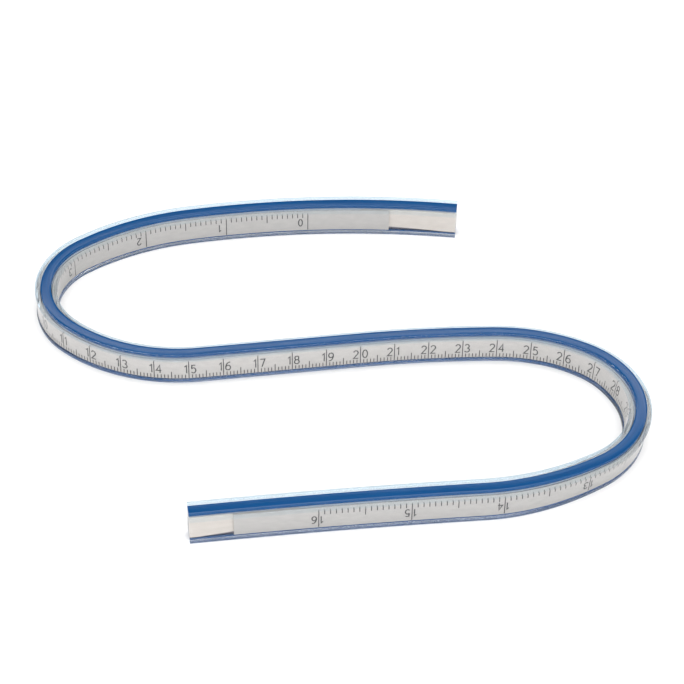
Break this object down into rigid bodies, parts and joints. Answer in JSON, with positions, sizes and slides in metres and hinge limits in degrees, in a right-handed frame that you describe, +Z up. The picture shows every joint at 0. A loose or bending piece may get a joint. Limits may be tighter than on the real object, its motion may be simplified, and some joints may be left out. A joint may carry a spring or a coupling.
{
  "type": "flexible curve ruler",
  "caption": "Flexible curve ruler bent into an S: clear profile with blue rails, lead core, steel strips and inch and centimetre scales.",
  "frame": {"origin": "underside of the ruler at half its length, in the middle run", "axes": "+Z up from the table the ruler lies on edge on; +X and +Y lie in the table, with the middle run heading 10 degrees left of +X"},
  "size_m": [0.1798, 0.1417, 0.01],
  "materials": {
    "clear_pvc": "clear soft PVC, glossy",
    "blue_pvc": "glossy blue soft PVC",
    "lead": "dull grey soft lead alloy",
    "spring_steel": "rolled spring steel strip, grey",
    "scale_white": "white rigid PVC strip, printed dark grey",
    "film_white": "warm white plastic film"
  },
  "bodies": {
    "link_01": {"clear_jacket_01": "clear_pvc", "lead_core_01": "lead", "zero_end_films": "film_white"},
    "link_02": {"clear_jacket_02": "clear_pvc", "lead_core_02": "lead"},
    "link_03": {"clear_jacket_03": "clear_pvc", "lead_core_03": "lead"},
    "link_04": {"clear_jacket_04": "clear_pvc", "lead_core_04": "lead"},
    "link_05": {"clear_jacket_05": "clear_pvc", "lead_core_05": "lead"},
    "link_06": {"clear_jacket_06": "clear_pvc", "lead_core_06": "lead"},
    "link_07": {"clear_jacket_07": "clear_pvc", "lead_core_07": "lead"},
    "link_08": {"clear_jacket_08": "clear_pvc", "lead_core_08": "lead"},
    "link_09": {"clear_jacket_09": "clear_pvc", "lead_core_09": "lead"},
    "link_10": {"clear_jacket_10": "clear_pvc", "lead_core_10": "lead"},
    "link_11": {"clear_jacket_11": "clear_pvc", "lead_core_11": "lead"},
    "link_12": {"clear_jacket_12": "clear_pvc", "lead_core_12": "lead"},
    "link_13": {"clear_jacket_13": "clear_pvc", "lead_core_13": "lead", "top_rail": "blue_pvc", "bottom_rail": "blue_pvc", "steel_strip_inch_side": "spring_steel", "steel_strip_cm_side": "spring_steel", "inch_scale_strip": "scale_white", "cm_scale_strip": "scale_white"},
    "link_14": {"clear_jacket_14": "clear_pvc", "lead_core_14": "lead"},
    "link_15": {"clear_jacket_15": "clear_pvc", "lead_core_15": "lead"},
    "link_16": {"clear_jacket_16": "clear_pvc", "lead_core_16": "lead"},
    "link_17": {"clear_jacket_17": "clear_pvc", "lead_core_17": "lead"},
    "link_18": {"clear_jacket_18": "clear_pvc", "lead_core_18": "lead"},
    "link_19": {"clear_jacket_19": "clear_pvc", "lead_core_19": "lead"},
    "link_20": {"clear_jacket_20": "clear_pvc", "lead_core_20": "lead"},
    "link_21": {"clear_jacket_21": "clear_pvc", "lead_core_21": "lead"},
    "link_22": {"clear_jacket_22": "clear_pvc", "lead_core_22": "lead"},
    "link_23": {"clear_jacket_23": "clear_pvc", "lead_core_23": "lead"},
    "link_24": {"clear_jacket_24": "clear_pvc", "lead_core_24": "lead"},
    "link_25": {"clear_jacket_25": "clear_pvc", "lead_core_25": "lead"},
    "link_26": {"clear_jacket_26": "clear_pvc", "lead_core_26": "lead", "far_end_films": "film_white"}
  },
  "joints": [
    {"name": "flex_01_02", "type": "hinge", "parent": "link_02", "child": "link_01", "pos_m": [-0.00736, 0.06356, 0.005], "axis": [0, 0, 1], "range_deg": [-12, 9.5], "deforming": ["top_rail", "bottom_rail", "steel_strip_inch_side", "steel_strip_cm_side", "inch_scale_strip", "cm_scale_strip"]},
    {"name": "flex_02_03", "type": "hinge", "parent": "link_03", "child": "link_02", "pos_m": [-0.04877, 0.05681, 0.005], "axis": [0, 0, 1], "range_deg": [-12, 11.5], "deforming": ["top_rail", "bottom_rail", "steel_strip_inch_side", "steel_strip_cm_side", "inch_scale_strip", "cm_scale_strip"]},
    {"name": "flex_03_04", "type": "hinge", "parent": "link_04", "child": "link_03", "pos_m": [-0.06509, 0.05063, 0.005], "axis": [0, 0, 1], "range_deg": [-1, 13.5], "deforming": ["top_rail", "bottom_rail", "steel_strip_inch_side", "steel_strip_cm_side", "inch_scale_strip", "cm_scale_strip"]},
    {"name": "flex_04_05", "type": "hinge", "parent": "link_05", "child": "link_04", "pos_m": [-0.07953, 0.0408, 0.005], "axis": [0, 0, 1], "range_deg": [-1, 16.55], "deforming": ["top_rail", "bottom_rail", "steel_strip_inch_side", "steel_strip_cm_side", "inch_scale_strip", "cm_scale_strip"]},
    {"name": "flex_05_06", "type": "hinge", "parent": "link_06", "child": "link_05", "pos_m": [-0.08481, 0.03432, 0.005], "axis": [0, 0, 1], "range_deg": [-1, 19.6], "deforming": ["top_rail", "bottom_rail", "steel_strip_inch_side", "steel_strip_cm_side", "inch_scale_strip", "cm_scale_strip"]},
    {"name": "flex_06_07", "type": "hinge", "parent": "link_07", "child": "link_06", "pos_m": [-0.08761, 0.02645, 0.005], "axis": [0, 0, 1], "range_deg": [-1, 19.6], "deforming": ["top_rail", "bottom_rail", "steel_strip_inch_side", "steel_strip_cm_side", "inch_scale_strip", "cm_scale_strip"]},
    {"name": "flex_07_08", "type": "hinge", "parent": "link_08", "child": "link_07", "pos_m": [-0.08761, 0.01809, 0.005], "axis": [0, 0, 1], "range_deg": [-1, 19.6], "deforming": ["top_rail", "bottom_rail", "steel_strip_inch_side", "steel_strip_cm_side", "inch_scale_strip", "cm_scale_strip"]},
    {"name": "flex_08_09", "type": "hinge", "parent": "link_09", "child": "link_08", "pos_m": [-0.08481, 0.01022, 0.005], "axis": [0, 0, 1], "range_deg": [-1, 19.6], "deforming": ["top_rail", "bottom_rail", "steel_strip_inch_side", "steel_strip_cm_side", "inch_scale_strip", "cm_scale_strip"]},
    {"name": "flex_09_10", "type": "hinge", "parent": "link_10", "child": "link_09", "pos_m": [-0.07953, 0.00374, 0.005], "axis": [0, 0, 1], "range_deg": [-1, 18.3], "deforming": ["top_rail", "bottom_rail", "steel_strip_inch_side", "steel_strip_cm_side", "inch_scale_strip", "cm_scale_strip"]},
    {"name": "flex_10_11", "type": "hinge", "parent": "link_11", "child": "link_10", "pos_m": [-0.06776, -0.00376, 0.005], "axis": [0, 0, 1], "range_deg": [-1, 17], "deforming": ["top_rail", "bottom_rail", "steel_strip_inch_side", "steel_strip_cm_side", "inch_scale_strip", "cm_scale_strip"]},
    {"name": "flex_11_12", "type": "hinge", "parent": "link_12", "child": "link_11", "pos_m": [-0.05432, -0.00748, 0.005], "axis": [0, 0, 1], "range_deg": [-1, 17], "deforming": ["top_rail", "bottom_rail", "steel_strip_inch_side", "steel_strip_cm_side", "inch_scale_strip", "cm_scale_strip"]},
    {"name": "flex_12_13", "type": "hinge", "parent": "link_13", "child": "link_12", "pos_m": [-0.04038, -0.00712, 0.005], "axis": [0, 0, 1], "range_deg": [-1, 8.5], "deforming": ["top_rail", "bottom_rail", "steel_strip_inch_side", "steel_strip_cm_side", "inch_scale_strip", "cm_scale_strip"]},
    {"name": "flex_13_14", "type": "hinge", "parent": "link_13", "child": "link_14", "pos_m": [0.00492, 0.00087, 0.005], "axis": [0, 0, 1], "range_deg": [-1, 3.5], "deforming": ["top_rail", "bottom_rail", "steel_strip_inch_side", "steel_strip_cm_side", "inch_scale_strip", "cm_scale_strip"]},
    {"name": "flex_14_15", "type": "hinge", "parent": "link_14", "child": "link_15", "pos_m": [0.04464, 0.00539, 0.005], "axis": [0, 0, 1], "range_deg": [-1, 11.5], "deforming": ["top_rail", "bottom_rail", "steel_strip_inch_side", "steel_strip_cm_side", "inch_scale_strip", "cm_scale_strip"]},
    {"name": "flex_15_16", "type": "hinge", "parent": "link_15", "child": "link_16", "pos_m": [0.05854, 0.00418, 0.005], "axis": [0, 0, 1], "range_deg": [-1, 16], "deforming": ["top_rail", "bottom_rail", "steel_strip_inch_side", "steel_strip_cm_side", "inch_scale_strip", "cm_scale_strip"]},
    {"name": "flex_16_17", "type": "hinge", "parent": "link_16", "child": "link_17", "pos_m": [0.07157, -0.00082, 0.005], "axis": [0, 0, 1], "range_deg": [-1, 17.75], "deforming": ["top_rail", "bottom_rail", "steel_strip_inch_side", "steel_strip_cm_side", "inch_scale_strip", "cm_scale_strip"]},
    {"name": "flex_17_18", "type": "hinge", "parent": "link_17", "child": "link_18", "pos_m": [0.07869, -0.00653, 0.005], "axis": [0, 0, 1], "range_deg": [-1, 19.5], "deforming": ["top_rail", "bottom_rail", "steel_strip_inch_side", "steel_strip_cm_side", "inch_scale_strip", "cm_scale_strip"]},
    {"name": "flex_18_19", "type": "hinge", "parent": "link_18", "child": "link_19", "pos_m": [0.08349, -0.01429, 0.005], "axis": [0, 0, 1], "range_deg": [-1, 19.5], "deforming": ["top_rail", "bottom_rail", "steel_strip_inch_side", "steel_strip_cm_side", "inch_scale_strip", "cm_scale_strip"]},
    {"name": "flex_19_20", "type": "hinge", "parent": "link_19", "child": "link_20", "pos_m": [0.08542, -0.02321, 0.005], "axis": [0, 0, 1], "range_deg": [-1, 19.5], "deforming": ["top_rail", "bottom_rail", "steel_strip_inch_side", "steel_strip_cm_side", "inch_scale_strip", "cm_scale_strip"]},
    {"name": "flex_20_21", "type": "hinge", "parent": "link_20", "child": "link_21", "pos_m": [0.08427, -0.03226, 0.005], "axis": [0, 0, 1], "range_deg": [-1, 19.5], "deforming": ["top_rail", "bottom_rail", "steel_strip_inch_side", "steel_strip_cm_side", "inch_scale_strip", "cm_scale_strip"]},
    {"name": "flex_21_22", "type": "hinge", "parent": "link_21", "child": "link_22", "pos_m": [0.08016, -0.0404, 0.005], "axis": [0, 0, 1], "range_deg": [-1, 19.5], "deforming": ["top_rail", "bottom_rail", "steel_strip_inch_side", "steel_strip_cm_side", "inch_scale_strip", "cm_scale_strip"]},
    {"name": "flex_22_23", "type": "hinge", "parent": "link_22", "child": "link_23", "pos_m": [0.07357, -0.04671, 0.005], "axis": [0, 0, 1], "range_deg": [-1, 16.5], "deforming": ["top_rail", "bottom_rail", "steel_strip_inch_side", "steel_strip_cm_side", "inch_scale_strip", "cm_scale_strip"]},
    {"name": "flex_23_24", "type": "hinge", "parent": "link_23", "child": "link_24", "pos_m": [0.05761, -0.05493, 0.005], "axis": [0, 0, 1], "range_deg": [-1, 13.5], "deforming": ["top_rail", "bottom_rail", "steel_strip_inch_side", "steel_strip_cm_side", "inch_scale_strip", "cm_scale_strip"]},
    {"name": "flex_24_25", "type": "hinge", "parent": "link_24", "child": "link_25", "pos_m": [0.04017, -0.0592, 0.005], "axis": [0, 0, 1], "range_deg": [-12, 6], "deforming": ["top_rail", "bottom_rail", "steel_strip_inch_side", "steel_strip_cm_side", "inch_scale_strip", "cm_scale_strip"]},
    {"name": "flex_25_26", "type": "hinge", "parent": "link_25", "child": "link_26", "pos_m": [0.00053, -0.06459, 0.005], "axis": [0, 0, 1], "range_deg": [-12, 1], "deforming": ["top_rail", "bottom_rail", "steel_strip_inch_side", "steel_strip_cm_side", "inch_scale_strip", "cm_scale_strip"]}
  ]
}
